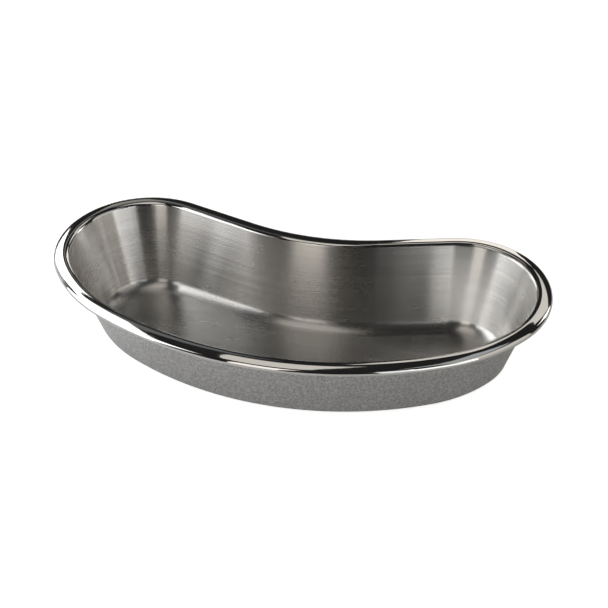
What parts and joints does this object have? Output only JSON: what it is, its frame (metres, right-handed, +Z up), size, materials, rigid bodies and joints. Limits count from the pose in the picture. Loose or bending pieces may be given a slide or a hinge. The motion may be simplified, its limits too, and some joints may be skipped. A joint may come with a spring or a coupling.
{
  "type": "kidney dish",
  "caption": "Deep drawn stainless steel kidney dish with a flat base, drafted wall, satin inside, matt outside and a polished rolled rim.",
  "frame": {"origin": "centre of the dish in plan, on the underside of the flat base", "axes": "+X along the length, -Y to the convex front, +Y to the hollow side that is held against the body, +Z up out of the dish"},
  "size_m": [0.25, 0.1198, 0.042],
  "materials": {
    "satin_steel": "satin, fine lines brushed along the length",
    "matt_steel": "matt, fine blasted grain",
    "polished_steel": "mirror polished stainless steel"
  },
  "bodies": {
    "root": {"flat_base": "satin_steel", "base_corner": "satin_steel", "side_wall": "matt_steel", "rim_shoulder": "polished_steel", "rolled_bead": "polished_steel"}
  },
  "joints": []
}
